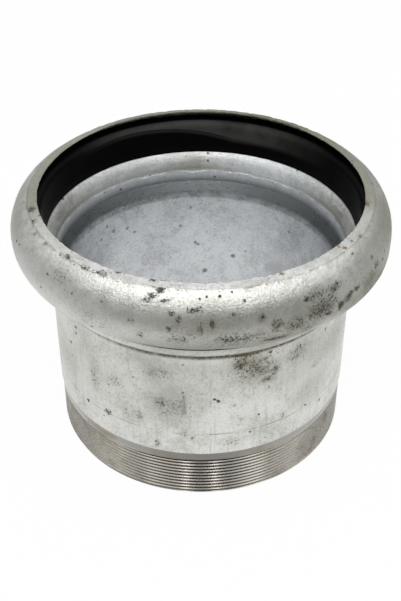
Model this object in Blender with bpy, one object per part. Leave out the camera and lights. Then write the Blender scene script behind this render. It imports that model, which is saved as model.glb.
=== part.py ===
"""A six-inch steel adapter for a quick-coupling pipe line, standing on its threaded end.

A male-threaded pipe nipple carries a thick bell. The bell's bead holds a rubber ring that
seals on the ball end of the next pipe. A fillet weld joins the bell's foot to the nipple.
Every piece is turned about the Z axis. The nipple's foot is at Z = 0. Sizes are in metres.
"""

import math

import bmesh
import bpy
from mathutils import Matrix, Vector

# Pipe nipple: a short length of six-inch pipe, chamfered inside at its top.
PIPE_RADIUS = 0.08255
PIPE_WALL = 0.0079
NIPPLE_LENGTH = 0.1042
INSIDE_CHAMFER_WIDTH = 0.0051
INSIDE_CHAMFER_HEIGHT = 0.0072
EDGE_BREAK = 0.0004

# The nipple's machined end and its parallel pipe thread, eleven turns to the inch.
MACHINED_LENGTH = 0.0308
MACHINED_SKIM = 0.0006
THREAD_PITCH = 0.0254 / 11.0
THREAD_DEPTH = 0.00148
THREAD_CREST = 0.0004
THREAD_ROOT = 0.0003
PLAIN_BAND = 0.0066
THREAD_RUN_OUT = 0.0022
FOOT_CHAMFER = 0.0018
# How far the threading tool stands out of the metal, as a share of the crest's width.
TOOL_CLEARANCE = 0.6

# Clearance between pieces that touch.
SEAT_GAP = 0.0003

# Bell: its lip, its round bead and the flank that runs in to its foot.
MOUTH_WIDENING = 0.00629
LIP_WIDTH = 0.0055
LIP_FALL = 0.0005
LIP_GROOVE_WIDTH = 0.0007
LIP_GROOVE_DEPTH = 0.0010
LIP_EDGE = 0.0007
BEAD_CENTRE_INSET = 0.00207
BEAD_HALF_WIDTH = 0.01783
BEAD_UPPER_HALF_HEIGHT = 0.01977
BEAD_LOWER_HALF_HEIGHT = 0.0180
BEAD_WALL = 0.0030
FLANK_ANGLE = math.radians(50.0)
BELL_FOOT_WALL = 0.0062
BELL_FOOT_BEVEL = 0.00174

# Inside of the bell: the round shoulder that stops the ball end, and the seal's groove.
SHOULDER_START_DROP = 0.0150
SHOULDER_RADIUS = 0.0130
SHOULDER_TURN = math.radians(43.6)
GROOVE_SILL_WIDTH = 0.0007
GROOVE_SILL_STEP = 0.0010
GROOVE_CORNER_RADIUS = 0.0040

# Fillet weld round the bell's foot.
WELD_LEG = 0.0047
WELD_CROWN = 0.0012

# Rubber seal: its nose stands inside the mouth, and above it a shoulder rounds over from a ridge.
SEAL_NOSE_PROUD = 0.00244
SEAL_NOSE_RISE = 0.0045
SEAL_RIDGE_PROUD = 0.00164
SEAL_SHOULDER_RADIUS = 0.0042
SEAL_TOP_DROP = 0.0055

# How finely round shapes are divided.
TURN_STEPS = 48
ARC_STEP = math.radians(15.0)
SHARP_ANGLE = math.radians(32.0)
SAME_POINT = 0.000001

# What lines up with another size.
PIPE_BORE_RADIUS = PIPE_RADIUS - PIPE_WALL
MACHINED_RADIUS = PIPE_RADIUS - MACHINED_SKIM
THREAD_LENGTH = MACHINED_LENGTH - PLAIN_BAND
NECK_BORE_RADIUS = PIPE_BORE_RADIUS + INSIDE_CHAMFER_WIDTH
BELL_FOOT_HEIGHT = NIPPLE_LENGTH + SEAT_GAP
BELL_FOOT_RADIUS = NECK_BORE_RADIUS + BELL_FOOT_WALL
BEVEL_FOOT_RADIUS = PIPE_RADIUS + SEAT_GAP
MOUTH_RADIUS = NECK_BORE_RADIUS + MOUTH_WIDENING
BEAD_CENTRE_RADIUS = MOUTH_RADIUS - BEAD_CENTRE_INSET

# The bell is stacked from its foot: the bevel, the flank, the bead's lower and upper halves, the lip.
FLANK_TURN = math.atan(math.tan(FLANK_ANGLE) * BEAD_LOWER_HALF_HEIGHT / BEAD_HALF_WIDTH)
FLANK_TOP_RADIUS = BEAD_CENTRE_RADIUS + BEAD_HALF_WIDTH * math.cos(FLANK_TURN)
FLANK_TOP_RISE = BELL_FOOT_BEVEL + (FLANK_TOP_RADIUS - BELL_FOOT_RADIUS) / math.tan(FLANK_ANGLE)
BEAD_CENTRE_RISE = FLANK_TOP_RISE + BEAD_LOWER_HALF_HEIGHT * math.sin(FLANK_TURN)
BEAD_CENTRE = (BEAD_CENTRE_RADIUS, BEAD_CENTRE_RISE)
LIP_RADIUS = MOUTH_RADIUS + LIP_WIDTH
LIP_TURN = math.acos((LIP_RADIUS + LIP_GROOVE_WIDTH - BEAD_CENTRE_RADIUS) / BEAD_HALF_WIDTH)
LIP_GROOVE_RISE = BEAD_CENTRE_RISE + BEAD_UPPER_HALF_HEIGHT * math.sin(LIP_TURN)
LIP_RISE = LIP_GROOVE_RISE + LIP_GROOVE_DEPTH
BELL_LENGTH = LIP_RISE + LIP_FALL

# Inside the bell, the shoulder and the seal's groove are set from the middle of the bead.
# The groove's roof thins the wall towards the mouth, where it leaves the lip's thin edge.
GROOVE_HALF_WIDTH = BEAD_HALF_WIDTH - BEAD_WALL
GROOVE_TURN = math.acos((MOUTH_RADIUS - BEAD_CENTRE_RADIUS) / GROOVE_HALF_WIDTH)
GROOVE_HALF_HEIGHT = (BELL_LENGTH - LIP_EDGE - BEAD_CENTRE_RISE) / math.sin(GROOVE_TURN)
SHOULDER_START_RISE = BEAD_CENTRE_RISE - SHOULDER_START_DROP
SILL_RADIUS = NECK_BORE_RADIUS + SHOULDER_RADIUS * (1.0 - math.cos(SHOULDER_TURN))
SILL_RISE = SHOULDER_START_RISE + SHOULDER_RADIUS * math.sin(SHOULDER_TURN)
GROOVE_INNER_RADIUS = SILL_RADIUS + GROOVE_SILL_WIDTH
GROOVE_FLOOR_RISE = SILL_RISE - GROOVE_SILL_STEP
SEAL_BASE_RISE = GROOVE_FLOOR_RISE + SEAT_GAP
SEAL_NOSE_RADIUS = MOUTH_RADIUS - SEAL_NOSE_PROUD
SEAL_RIDGE_RADIUS = MOUTH_RADIUS - SEAL_RIDGE_PROUD


def clear_scene():
    for old in list(bpy.data.objects):
        bpy.data.objects.remove(old, do_unlink=True)


def make_material(name, colour, roughness, metallic):
    material = bpy.data.materials.new(name)
    material.use_nodes = True
    shader = material.node_tree.nodes["Principled BSDF"]
    shader.inputs["Base Color"].default_value = (*colour, 1.0)
    shader.inputs["Roughness"].default_value = roughness
    shader.inputs["Metallic"].default_value = metallic
    return material


def arc(centre, half_sizes, start, end):
    """Points (radius, height) along an ellipse, with angles counted from outwards to upwards."""
    steps = max(2, math.ceil(abs(end - start) / ARC_STEP))
    angles = [start + (end - start) * i / steps for i in range(steps + 1)]
    return [
        (centre[0] + half_sizes[0] * math.cos(a), centre[1] + half_sizes[1] * math.sin(a))
        for a in angles
    ]


def bow(first, last, rise):
    """Points along a circular arc between two ends, which bulges to the left of their line."""
    chord = math.dist(first, last)
    radius = (chord * chord / 4.0 + rise * rise) / (2.0 * rise)
    half_angle = math.asin(chord / (2.0 * radius))
    heading = math.atan2(last[1] - first[1], last[0] - first[0])
    middle = ((first[0] + last[0]) / 2.0, (first[1] + last[1]) / 2.0)
    left = heading + math.pi / 2.0
    centre = (
        middle[0] + (rise - radius) * math.cos(left),
        middle[1] + (rise - radius) * math.sin(left),
    )
    return arc(centre, (radius, radius), left + half_angle, left - half_angle)


def without_repeats(section):
    kept = []
    for point in section:
        if not kept or math.dist(point, kept[-1]) > SAME_POINT:
            kept.append(point)
    return kept


def turned(name, section, height, material, parent):
    """Spins a closed section (radius, height) once round the Z axis into a solid."""
    shape = bmesh.new()
    corners = [shape.verts.new((r, 0.0, z)) for r, z in without_repeats(section)]
    edges = [shape.edges.new((a, b)) for a, b in zip(corners, corners[1:] + corners[:1])]
    bmesh.ops.spin(
        shape,
        geom=corners + edges,
        cent=(0.0, 0.0, 0.0),
        axis=(0.0, 0.0, 1.0),
        angle=2.0 * math.pi,
        steps=TURN_STEPS,
        use_merge=True,
    )
    bmesh.ops.recalc_face_normals(shape, faces=shape.faces)
    mesh = bpy.data.meshes.new(name)
    shape.to_mesh(mesh)
    shape.free()
    mesh.shade_smooth()
    mesh.set_sharp_from_angle(angle=SHARP_ANGLE)
    mesh.materials.append(material)
    solid = bpy.data.objects.new(name, mesh)
    bpy.context.scene.collection.objects.link(solid)
    solid.location.z = height
    solid.parent = parent
    return solid


def nipple_section():
    """The pipe's wall before its thread is cut, from the foot at height 0."""
    return [
        (PIPE_RADIUS - EDGE_BREAK, NIPPLE_LENGTH),
        (PIPE_RADIUS, NIPPLE_LENGTH - EDGE_BREAK),
        (PIPE_RADIUS, MACHINED_LENGTH),
        (MACHINED_RADIUS, MACHINED_LENGTH - MACHINED_SKIM),
        (MACHINED_RADIUS, FOOT_CHAMFER),
        (MACHINED_RADIUS - FOOT_CHAMFER, 0.0),
        (PIPE_BORE_RADIUS + EDGE_BREAK, 0.0),
        (PIPE_BORE_RADIUS, EDGE_BREAK),
        (PIPE_BORE_RADIUS, NIPPLE_LENGTH - INSIDE_CHAMFER_HEIGHT),
        (NECK_BORE_RADIUS, NIPPLE_LENGTH),
    ]


def thread_cutter():
    """A V groove wound up the machined end. Its last turn draws out of the metal.

    Its facets are turned half a step from the pipe's, so that no two edges nearly meet.
    """
    half_root = THREAD_ROOT / 2.0
    half_mouth = (THREAD_PITCH - THREAD_CREST) / 2.0
    clear = TOOL_CLEARANCE * THREAD_CREST
    half_clear = half_mouth + (half_mouth - half_root) * clear / THREAD_DEPTH
    groove = [
        Vector((MACHINED_RADIUS + clear, 0.0, half_clear)),
        Vector((MACHINED_RADIUS + clear, 0.0, -half_clear)),
        Vector((MACHINED_RADIUS - THREAD_DEPTH, 0.0, -half_root)),
        Vector((MACHINED_RADIUS - THREAD_DEPTH, 0.0, half_root)),
    ]
    turns = THREAD_LENGTH / THREAD_PITCH + 1.0
    tool = bmesh.new()
    loops = []
    for i in range(round(turns * TURN_STEPS) + 1):
        turn = i / TURN_STEPS
        draw_out = THREAD_RUN_OUT * max(0.0, turn - turns + 1.0)
        heading = 2.0 * math.pi * (turn + 0.5 / TURN_STEPS)
        place = Matrix.Rotation(heading, 4, "Z") @ Matrix.Translation(
            (draw_out, 0.0, (turn - 1.0) * THREAD_PITCH)
        )
        loops.append([tool.verts.new(place @ corner) for corner in groove])
    for lower, upper in zip(loops, loops[1:]):
        for j, corner in enumerate(lower):
            k = (j + 1) % len(lower)
            tool.faces.new((corner, lower[k], upper[k], upper[j]))
    tool.faces.new(loops[0])
    tool.faces.new(loops[-1])
    bmesh.ops.recalc_face_normals(tool, faces=tool.faces)
    mesh = bpy.data.meshes.new("thread_tool")
    tool.to_mesh(mesh)
    tool.free()
    cutter = bpy.data.objects.new("thread_tool", mesh)
    bpy.context.scene.collection.objects.link(cutter)
    cutter.hide_render = True
    cutter.display_type = "WIRE"
    return cutter


def cut_thread(nipple):
    cut = nipple.modifiers.new("thread", "BOOLEAN")
    cut.operation = "DIFFERENCE"
    cut.solver = "EXACT"
    cut.object = thread_cutter()


def bell_outside():
    """From the mouth's lip, over the bead and down the flank to the foot."""
    groove = (LIP_RADIUS + LIP_GROOVE_WIDTH / 2.0, LIP_GROOVE_RISE)
    upper = arc(BEAD_CENTRE, (BEAD_HALF_WIDTH, BEAD_UPPER_HALF_HEIGHT), LIP_TURN, 0.0)
    lower = arc(BEAD_CENTRE, (BEAD_HALF_WIDTH, BEAD_LOWER_HALF_HEIGHT), 0.0, -FLANK_TURN)
    lip = [(MOUTH_RADIUS, BELL_LENGTH), (LIP_RADIUS, LIP_RISE), groove]
    return lip + upper + lower + [(BELL_FOOT_RADIUS, BELL_FOOT_BEVEL)]


def bell_inside():
    """From the foot up the neck's bore, over the shoulder and round the seal's groove."""
    shoulder = arc(
        (NECK_BORE_RADIUS + SHOULDER_RADIUS, SHOULDER_START_RISE),
        (SHOULDER_RADIUS, SHOULDER_RADIUS),
        math.pi,
        math.pi - SHOULDER_TURN,
    )
    corner = (
        BEAD_CENTRE_RADIUS + GROOVE_HALF_WIDTH - GROOVE_CORNER_RADIUS,
        GROOVE_FLOOR_RISE + GROOVE_CORNER_RADIUS,
    )
    corner_sizes = (GROOVE_CORNER_RADIUS, GROOVE_CORNER_RADIUS)
    return (
        [(NECK_BORE_RADIUS, 0.0)]
        + shoulder
        + [(GROOVE_INNER_RADIUS, SILL_RISE), (GROOVE_INNER_RADIUS, GROOVE_FLOOR_RISE)]
        + arc(corner, corner_sizes, -math.pi / 2.0, 0.0)
        + arc(BEAD_CENTRE, (GROOVE_HALF_WIDTH, GROOVE_HALF_HEIGHT), 0.0, GROOVE_TURN)
    )


def bell_section():
    return bell_outside() + [(BEVEL_FOOT_RADIUS, 0.0)] + bell_inside()


def weld_section():
    """The fillet between the bell's bevelled foot and the pipe, from its lower toe."""
    upper_toe = (BELL_FOOT_RADIUS, WELD_LEG + BELL_FOOT_BEVEL)
    lower_toe = (BEVEL_FOOT_RADIUS, 0.0)
    root = (BEVEL_FOOT_RADIUS, WELD_LEG)
    return bow(upper_toe, lower_toe, WELD_CROWN) + [root]


def seal_section():
    """The ring fills the groove and stands a little inside the mouth, from its own base."""
    half_sizes = (GROOVE_HALF_WIDTH - SEAT_GAP, GROOVE_HALF_HEIGHT - SEAT_GAP)
    centre = (BEAD_CENTRE_RADIUS, BEAD_CENTRE_RISE - SEAL_BASE_RISE)
    top_over_centre = GROOVE_HALF_HEIGHT - SEAL_TOP_DROP
    back = arc(centre, half_sizes, math.asin(top_over_centre / half_sizes[1]), 0.0)
    corner_size = GROOVE_CORNER_RADIUS - SEAT_GAP
    corner = (centre[0] + half_sizes[0] - corner_size, corner_size)
    sill = SILL_RISE - SEAL_BASE_RISE + SEAT_GAP
    heel_radius = GROOVE_INNER_RADIUS + SEAT_GAP
    ridge = (SEAL_RIDGE_RADIUS, centre[1] + top_over_centre - SEAL_SHOULDER_RADIUS)
    shoulder = arc(
        (ridge[0] + SEAL_SHOULDER_RADIUS, ridge[1]),
        (SEAL_SHOULDER_RADIUS, SEAL_SHOULDER_RADIUS),
        math.pi,
        math.pi / 2.0,
    )
    return (
        back
        + arc(corner, (corner_size, corner_size), 0.0, -math.pi / 2.0)
        + [(heel_radius, 0.0), (heel_radius, sill), (SEAL_NOSE_RADIUS, sill)]
        + [(SEAL_NOSE_RADIUS, SEAL_NOSE_RISE), ridge]
        + shoulder
    )


def main():
    clear_scene()
    zinc = make_material("galvanised_steel", (0.56, 0.57, 0.56), 0.42, 0.85)
    weld_zinc = make_material("galvanised_weld", (0.62, 0.63, 0.61), 0.38, 0.85)
    rubber = make_material("black_rubber", (0.02, 0.02, 0.02), 0.45, 0.0)
    adapter = bpy.data.objects.new("adapter", None)
    bpy.context.scene.collection.objects.link(adapter)
    nipple = turned("pipe_nipple", nipple_section(), 0.0, zinc, adapter)
    cut_thread(nipple)
    turned("socket_bell", bell_section(), BELL_FOOT_HEIGHT, zinc, adapter)
    weld_foot = NIPPLE_LENGTH - WELD_LEG
    turned("neck_weld", weld_section(), weld_foot, weld_zinc, adapter)
    seal_base = BELL_FOOT_HEIGHT + SEAL_BASE_RISE
    turned("seal_ring", seal_section(), seal_base, rubber, adapter)


main()
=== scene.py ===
import math

import bmesh
import bpy
import numpy as np
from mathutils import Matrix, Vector, noise


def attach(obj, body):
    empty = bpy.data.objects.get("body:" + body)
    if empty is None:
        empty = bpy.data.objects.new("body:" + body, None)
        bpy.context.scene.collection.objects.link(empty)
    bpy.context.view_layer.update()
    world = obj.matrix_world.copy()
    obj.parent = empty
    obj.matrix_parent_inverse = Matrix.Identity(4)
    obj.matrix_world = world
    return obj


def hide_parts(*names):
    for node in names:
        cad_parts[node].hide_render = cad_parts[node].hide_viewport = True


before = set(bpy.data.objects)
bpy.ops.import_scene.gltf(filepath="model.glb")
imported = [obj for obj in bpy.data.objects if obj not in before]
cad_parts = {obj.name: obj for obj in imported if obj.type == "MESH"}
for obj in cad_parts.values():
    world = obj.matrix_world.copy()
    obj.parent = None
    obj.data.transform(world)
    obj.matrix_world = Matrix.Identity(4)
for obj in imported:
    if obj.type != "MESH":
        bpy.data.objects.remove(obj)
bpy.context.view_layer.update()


# The viewpoint: a long lens in front of the adapter, looking down into its mouth by about
# thirty-seven degrees. The aim is a little to the side of the axis and half way up.
CAMERA_PLACE = Vector((-0.00034, -0.4754, 0.4300))
CAMERA_AIM = Vector((-0.00034, 0.0, 0.07167))
CAMERA_LENS = 62.374
FILM_WIDTH = 36.0

camera_data = bpy.data.cameras.new("camera")
camera_data.lens = CAMERA_LENS
camera_data.sensor_fit = "AUTO"
camera_data.sensor_width = FILM_WIDTH
camera = bpy.data.objects.new("camera", camera_data)
bpy.context.scene.collection.objects.link(camera)
camera.location = CAMERA_PLACE
camera.rotation_euler = (CAMERA_AIM - CAMERA_PLACE).to_track_quat("-Z", "Y").to_euler()
bpy.context.scene.camera = camera


# The studio: a plain pale floor that keeps the adapter's shadow, a white surround, one large soft
# lamp overhead and two long narrow ones under it. A round card stands about the adapter, dark in
# front and pale elsewhere, to give bright metal its dark bands. It shows only in the metal.
WHITE = (1.0, 1.0, 1.0, 1.0)
FLOOR_HALF_WIDTH = 4.0
FLOOR_COLOUR = (0.85, 0.85, 0.85, 1.0)
FLOOR_GLOW = 0.97
SURROUND_LIGHT = 0.67
MAIN_LAMP = {"place": (0.03, -0.55, 1.45), "size": (1.7, 1.2), "power": 7.1}
STRIP_LAMPS = (
    {"place": (-0.098, -0.38, 0.98), "size": (0.045, 0.70), "power": 1.05},
    {"place": (0.086, -0.38, 0.98), "size": (0.045, 0.70), "power": 1.25},
)
LAMP_AIM = Vector((0.0, 0.0, 0.09))
CARD_RADIUS = 0.50
CARD_HEIGHT = 0.545
CARD_STEPS = 60
CARD_COLOUR = (0.02, 0.02, 0.02, 1.0)
CARD_TOP_COLOUR = (0.70, 0.70, 0.70, 1.0)
CARD_SIDE_COLOUR = (0.50, 0.50, 0.50, 1.0)
CARD_FADE_START = 0.12
CARD_SIDE_HEIGHTS = (0.34, 0.45)
CARD_DARK_HALF_TURN = 26.0
CARD_PALE_HALF_TURN = 80.0


def add_node(tree, kind, inputs=None, **settings):
    """Adds a shader node. Its inputs are plain values or the outputs of other nodes."""
    node = tree.nodes.new(kind)
    for name, value in settings.items():
        setattr(node, name, value)
    for name, value in (inputs or {}).items():
        if isinstance(value, bpy.types.NodeSocket):
            tree.links.new(value, node.inputs[name])
        else:
            node.inputs[name].default_value = value
    return node


def maths(tree, operation, first, second=0.0, third=0.0):
    """The result of one sum on two or three values or outputs."""
    node = add_node(tree, "ShaderNodeMath", {0: first, 1: second, 2: third}, operation=operation)
    return node.outputs[0]


def times(tree, *values):
    """Two or more values or outputs, multiplied together."""
    result = values[0]
    for value in values[1:]:
        result = maths(tree, "MULTIPLY", result, value)
    return result


def largest(tree, *values):
    """The largest of two or more values or outputs."""
    result = values[0]
    for value in values[1:]:
        result = maths(tree, "MAXIMUM", result, value)
    return result


def scaled(tree, value, factor, more):
    """A value or output times a factor, with more added."""
    return maths(tree, "MULTIPLY_ADD", value, factor, more)


def between(tree, value, low, high, start=0.0, end=1.0):
    """A value stretched so that low gives start and high gives end, and held there outside."""
    node = add_node(
        tree,
        "ShaderNodeMapRange",
        {"Value": value, "From Min": low, "From Max": high, "To Min": start, "To Max": end},
        interpolation_type="SMOOTHSTEP",
    )
    return node.outputs[0]


def blend(tree, share, first, second):
    """Mixes two colours by a share."""
    inputs = {0: share, 6: first, 7: second}
    return add_node(tree, "ShaderNodeMix", inputs, data_type="RGBA").outputs[2]


def height_of(tree, place):
    return add_node(tree, "ShaderNodeSeparateXYZ", {0: place}).outputs[2]


def turn_of(tree, place):
    """The turn of the surface from the front, in degrees."""
    parts = add_node(tree, "ShaderNodeSeparateXYZ", {0: place}).outputs
    turn = maths(tree, "ARCTAN2", parts[0], times(tree, parts[1], -1.0))
    return maths(tree, "DEGREES", turn)


def seen_straight(tree):
    """One for the rays that show the background: from the camera, off metal or through glass."""
    path = add_node(tree, "ShaderNodeLightPath").outputs
    kinds = ("Is Camera Ray", "Is Glossy Ray", "Is Transmission Ray")
    return largest(tree, *(path[kind] for kind in kinds))


def make_object(shape, name, *materials):
    """Turns a worked shape into an object of the scene."""
    mesh = bpy.data.meshes.new(name)
    shape.to_mesh(mesh)
    shape.free()
    for material in materials:
        mesh.materials.append(material)
    made = bpy.data.objects.new(name, mesh)
    bpy.context.scene.collection.objects.link(made)
    return made


def floor_material():
    material = bpy.data.materials.new("studio_floor")
    material.use_nodes = True
    tree = material.node_tree
    tree.nodes.clear()
    matt = add_node(tree, "ShaderNodeBsdfDiffuse", {"Color": FLOOR_COLOUR})
    glow = add_node(tree, "ShaderNodeEmission", {"Color": WHITE, "Strength": 1.0})
    share = times(tree, seen_straight(tree), FLOOR_GLOW)
    mix = add_node(tree, "ShaderNodeMixShader", {0: share, 1: matt.outputs[0], 2: glow.outputs[0]})
    add_node(tree, "ShaderNodeOutputMaterial", {"Surface": mix.outputs[0]})
    return material


def lay_floor():
    shape = bmesh.new()
    bmesh.ops.create_grid(shape, x_segments=1, y_segments=1, size=FLOOR_HALF_WIDTH)
    return make_object(shape, "studio_floor", floor_material())


def light_surround():
    world = bpy.data.worlds.new("studio")
    bpy.context.scene.world = world
    world.use_nodes = True
    tree = world.node_tree
    tree.nodes.clear()
    extra = 1.0 - SURROUND_LIGHT
    strength = scaled(tree, seen_straight(tree), extra, SURROUND_LIGHT)
    sky = add_node(tree, "ShaderNodeBackground", {"Color": WHITE, "Strength": strength})
    add_node(tree, "ShaderNodeOutputWorld", {"Surface": sky.outputs[0]})


def hang_lamp(name, place, size, power):
    light = bpy.data.lights.new(name, "AREA")
    light.shape = "RECTANGLE"
    light.size, light.size_y = size
    light.energy = power
    lamp = bpy.data.objects.new(name, light)
    bpy.context.scene.collection.objects.link(lamp)
    lamp.location = place
    lamp.rotation_euler = (LAMP_AIM - Vector(place)).to_track_quat("-Z", "Y").to_euler()


def card_material():
    """Matt and dark in front, and paler towards the card's top edge and its two sides."""
    material = bpy.data.materials.new("dark_card")
    material.use_nodes = True
    tree = material.node_tree
    shader = tree.nodes["Principled BSDF"]
    place = add_node(tree, "ShaderNodeTexCoord").outputs["Object"]
    turn = maths(tree, "ABSOLUTE", turn_of(tree, place))
    side = between(tree, turn, CARD_DARK_HALF_TURN, CARD_PALE_HALF_TURN)
    top = between(tree, height_of(tree, place), CARD_FADE_START, CARD_HEIGHT)
    front_colour = blend(tree, top, CARD_COLOUR, CARD_TOP_COLOUR)
    side_top = between(tree, height_of(tree, place), *CARD_SIDE_HEIGHTS)
    side_colour = blend(tree, side_top, CARD_SIDE_COLOUR, WHITE)
    colour = blend(tree, side, front_colour, side_colour)
    tree.links.new(colour, shader.inputs["Base Color"])
    shader.inputs["Roughness"].default_value = 1.0
    return material


def spin_line(shape, line, steps, closed=False, angle=2.0 * math.pi, **more):
    """Spins a broken line of points (radius, height) about the adapter's axis."""
    points = [shape.verts.new((0.0, -r, z)) for r, z in line]
    ends = points[1:] + points[:1] if closed else points[1:]
    bmesh.ops.spin(
        shape,
        geom=points + [shape.edges.new(pair) for pair in zip(points, ends)],
        cent=(0.0, 0.0, 0.0),
        axis=(0.0, 0.0, 1.0),
        angle=angle,
        steps=steps,
        **more,
    )


def stand_card():
    """The card: an upright edge spun right round the adapter."""
    shape = bmesh.new()
    edge = [(CARD_RADIUS, 0.0), (CARD_RADIUS, CARD_HEIGHT)]
    spin_line(shape, edge, CARD_STEPS, use_merge=True)
    card = make_object(shape, "dark_card", card_material())
    card.visible_camera = False
    card.visible_diffuse = False
    card.visible_shadow = False
    return card


lay_floor()
stand_card()
light_surround()
hang_lamp("main_lamp", **MAIN_LAMP)
for number, strip in enumerate(STRIP_LAMPS, start=1):
    hang_lamp(f"strip_lamp_{number}", **strip)
bpy.context.scene.view_settings.view_transform = "Standard"


# The pipe nipple: a short length of thick steel pipe. It was dipped in zinc whole, and then its
# foot was skimmed and threaded in a lathe, so the foot is bare steel with the marks of the tool.
PIPE_RADIUS = 0.08255
BORE_RADIUS = 0.07465
PIPE_TOP = 0.1042
CHAMFER_TOP_RADIUS = 0.07975
CHAMFER_FOOT = 0.0970
DRIP_DEPTH = 0.00035
BARE_RADIUS = 0.08195
BARE_HEIGHT = 0.0319
SKIM_STEP = 0.0006
THREAD_HEIGHT = 0.0272
THREAD_START = -0.0001
THREAD_PITCH = 0.0254 / 11.0
THREAD_DEPTH = 0.640327 * THREAD_PITCH
THREAD_ROUND = 0.137329 * THREAD_PITCH
THREAD_HALF_ANGLE = math.radians(27.5)
THREAD_FADE = 1.5
FOOT_CHAMFER = 0.0018
PIPE_STEPS = 360
PIPE_ROW = 0.0013
BORE_ROW = 0.0026
SAME_PLACE = 0.00002
MARK_EDGE = 1.7
NO_DOT = 9.0
SEAM_TURN = (-1.2, 3.4)
SEAM_RISE = 0.00012
SHARP_ANGLE = math.radians(40.0)
STEEL_RELIEF = 0.000004
PIPE_RELIEF = 0.00010
# Lumps in the pipe's zinc: how high and how large they are, and the seed of their pattern.
PIPE_LUMPS = ((0.00010, 0.012, 1.0), (0.00005, 0.004, 5.0))
# Noise in the zinc: its scale, detail and roughness.
CLOUD = (30.0, 6.0, 0.62)
MOTTLE = (190.0, 5.0, 0.68)
GRAIN = (800.0, 4.0, 0.70)
FINE_GRAIN = (2200.0, 2.0, 0.5)
STREAKS = (520.0, 3.0, 0.6)
CRUMB_CLUSTERS = (24.0, 3.0, 0.6)
CRUMBS = (840.0, 6.0, 0.80)
RUST_SPECKS = (360.0, 4.0, 0.7)
# Heights between which the shade in the neck sets in, deepens and fades out.
SHADE_TOP = (0.1110, 0.1034)
SHADE_STEP = (0.1050, 0.1036)
SHADE_FOOT = (0.0968, 0.0994)
# Painted toe shade, a scribed line, the foot's painted reflection: the middle, and how far it
# reaches either side.
TOE_SHADE = (0.0989, 0.0030)
TOE_SHADE_TURN = (12.0, 95.0)
SCRIBED_LINE = (0.0459, 0.0007)
PALER_FRONT_TURN = (24.0, 15.0)
FRONT_REFLECTION_TURN = (2.0, 46.0)
# Bare steel: paler at the sides and behind, darker in front as a painted reflection, and grooves
# painted darker as shade.
STEEL_LIGHT = (0.40, 0.385, 0.36, 1.0)
STEEL_FRONT_REFLECTION = (0.235, 0.225, 0.205, 1.0)
THREAD_LIGHT = (0.56, 0.54, 0.485, 1.0)
THREAD_FRONT_REFLECTION = (0.118, 0.113, 0.107, 1.0)
GROOVE_SHADE_SIDES = (0.46, 0.43, 0.36, 1.0)
STEEL_WARM = (0.24, 0.21, 0.165, 1.0)
GROOVE_SHADE_FRONT = (0.045, 0.040, 0.030, 1.0)
ZINC_LIGHT = (0.77, 0.775, 0.74, 1.0)
ZINC_MIDDLE = (0.50, 0.505, 0.465, 1.0)
BORE_LIGHT = (0.70, 0.72, 0.74, 1.0)
BORE_MIDDLE = (0.43, 0.445, 0.46, 1.0)
# Paler tones for the neck inside, painted light.
NECK_LIT_PALE = (0.88, 0.91, 0.93, 1.0)
NECK_LIT_MIDDLE = (0.66, 0.69, 0.71, 1.0)
NECK_SHADE = (0.110, 0.122, 0.128, 1.0)
# A colour for real grime and for painted shade alike.
GRIME_AND_SHADE = (0.160, 0.158, 0.094, 1.0)
OLIVE = (0.092, 0.085, 0.034, 1.0)
SOOT = (0.026, 0.024, 0.011, 1.0)
RUST = (0.15, 0.09, 0.035, 1.0)
# Marks on the pipe: turn from the front in degrees, radius and height, half width and half height,
# all in millimetres, and strength.
PIPE_SOOT = (
    (19.5, 82.5, 87, 14, 8, 0.66),
    (-16, 82.5, 86, 10, 5, 0.50),
    (-12, 82.5, 64, 10, 8, 0.48),
    (36, 82.5, 88, 9, 8, 0.50),
    (11.2, 82.5, 39.3, 6, 4, 0.46),
    (14, 82.5, 92, 4.5, 6, 0.70),
    (27, 82.5, 83.5, 4.5, 4.5, 0.70),
    (24, 82.5, 78, 5, 3, 0.80),
    (17, 82.5, 97.5, 11, 1.5, 0.90),
    (-19, 82.5, 85, 4, 2.5, 0.62),
    (-13, 82.5, 87, 5, 2, 0.62),
    (-14.5, 82.5, 66.6, 4.5, 4.5, 0.60),
    (-12, 82.5, 60, 3, 3, 0.60),
    (-37, 82.5, 46.7, 2.5, 2.5, 0.70),
    (-23, 82.5, 53, 2.5, 5, 0.60),
    (-16.5, 82.5, 36.5, 2, 4, 0.65),
    (14.8, 82.5, 54.5, 2, 1.2, 0.70),
    (31.5, 82.5, 48.7, 2, 2, 0.60),
    (37, 82.5, 91.5, 4, 3, 0.70),
    (47, 82.5, 72, 3, 3, 0.55),
    (-6.5, 82.5, 66, 2, 9, 0.55),
    (-6, 82.5, 46, 2, 4, 0.50),
    (-33, 82.5, 72, 6, 5, 0.42),
    (-43, 82.5, 66, 3, 9, 0.40),
)
# Dirt and painted shade on the pipe, among them its darker far sides and the painted shadow under
# the bead.
PIPE_GRIME_AND_SHADE = (
    (-62, 82.5, 68, 56, 30, 0.20),
    (-82, 82.5, 56, 20, 30, 0.36),
    (46, 82.5, 80, 44, 16, 0.30),
    (16, 82.5, 92, 12, 8, 0.55),
    (22, 82.5, 84, 16, 9, 0.42),
    (68, 82.5, 93, 14, 6, 0.66),
    (46, 82.5, 59, 16, 12, 0.34),
    (-12, 82.5, 66, 16, 16, 0.22),
    (0, 82.5, 91, 80, 6, 0.22),
)
PIPE_RUST = (
    (22, 82.5, 90, 12, 7, 0.46),
    (17, 82.5, 98, 12, 1.2, 0.75),
    (14, 82.5, 94, 3, 3, 0.55),
    (26, 82.5, 80, 3, 3, 0.50),
)
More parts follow.
